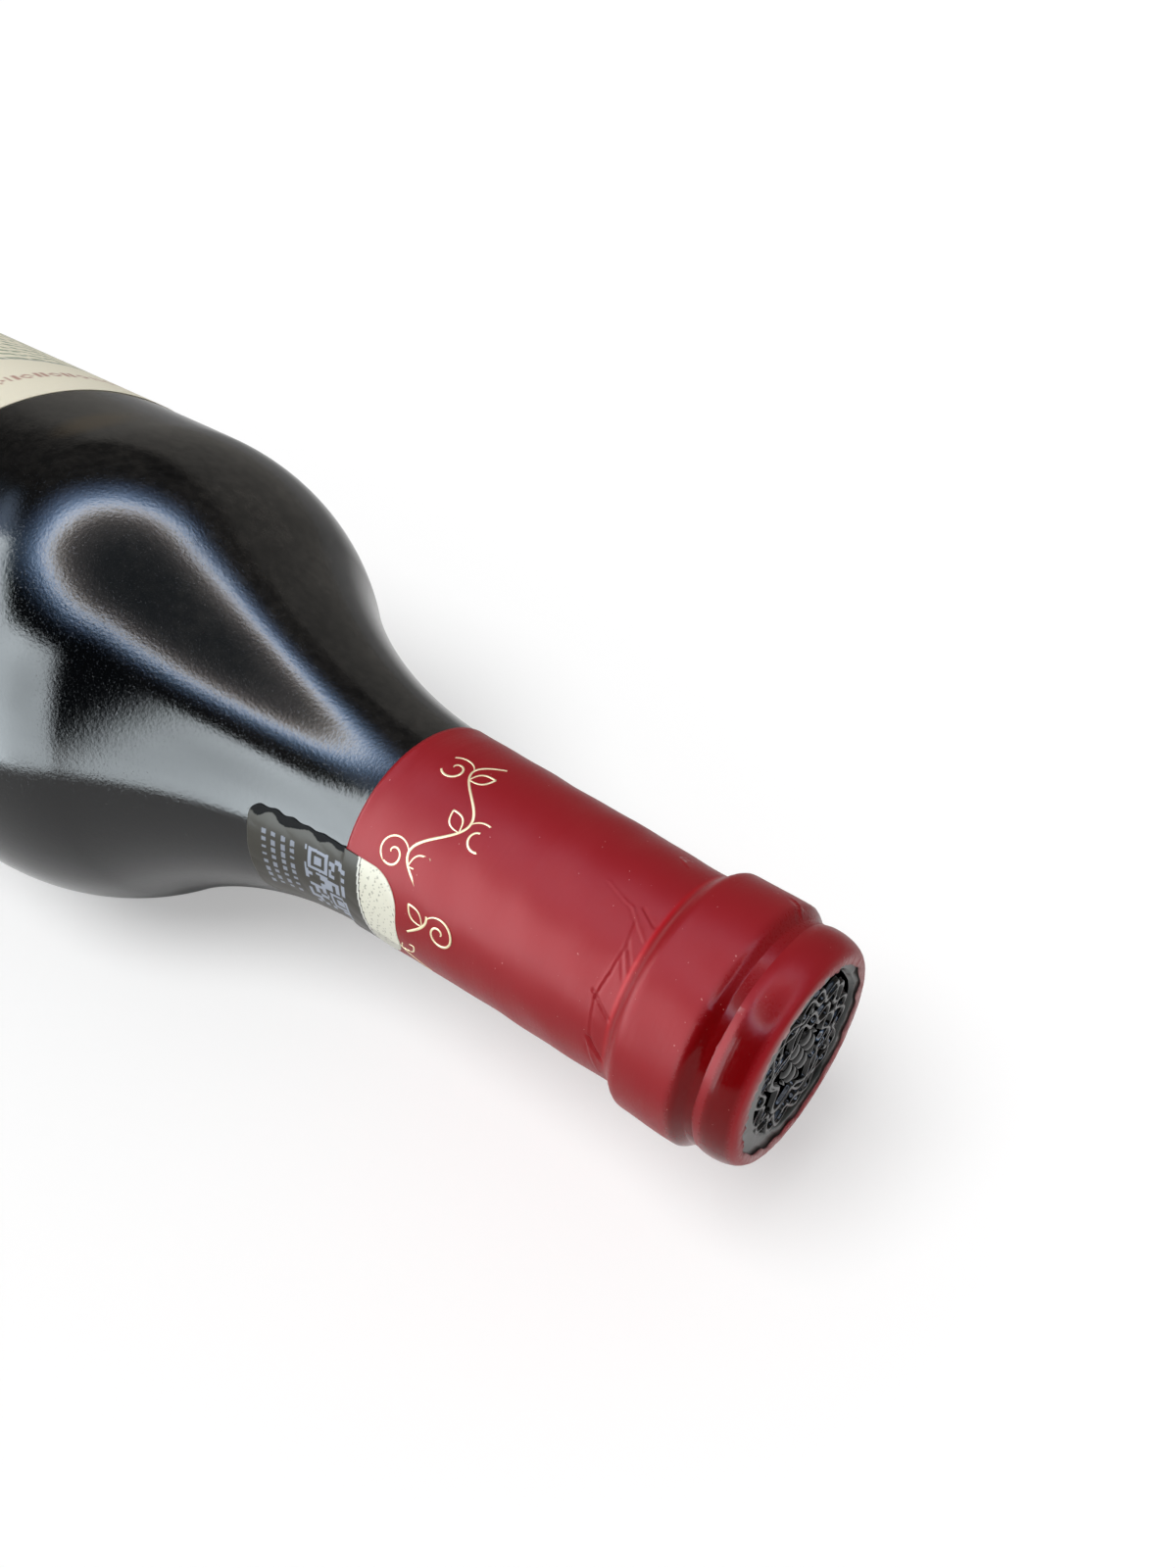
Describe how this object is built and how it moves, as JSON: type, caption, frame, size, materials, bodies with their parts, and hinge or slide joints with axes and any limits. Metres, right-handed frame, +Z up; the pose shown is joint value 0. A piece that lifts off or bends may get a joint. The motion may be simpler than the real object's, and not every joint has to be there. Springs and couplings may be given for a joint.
{
  "type": "wine bottle",
  "caption": "Full dark glass wine bottle lying on its side, with a red capsule over the neck, a dark relief disc on the mouth, a neck seal and a cream label.",
  "frame": {"origin": "under the middle of the bottle, at the centre of the bottom of its bounding box", "axes": "+X along the bottle from its base to its mouth, +Z up, -Y towards the side that carries the neck seal"},
  "size_m": [0.3, 0.073, 0.0729],
  "materials": {
    "dark_glass": "dusty satin gloss, nearly black",
    "red_film": "satin, fine grain",
    "black_film": "glossy relief with a smooth grey rim",
    "seal_film": "glossy dark film with a silver end",
    "label_paper": "matte cream paper"
  },
  "bodies": {
    "root": {"glass_bottle": "dark_glass", "capsule": "red_film", "capsule_disc": "black_film", "neck_seal": "seal_film", "front_label": "label_paper"}
  },
  "joints": []
}
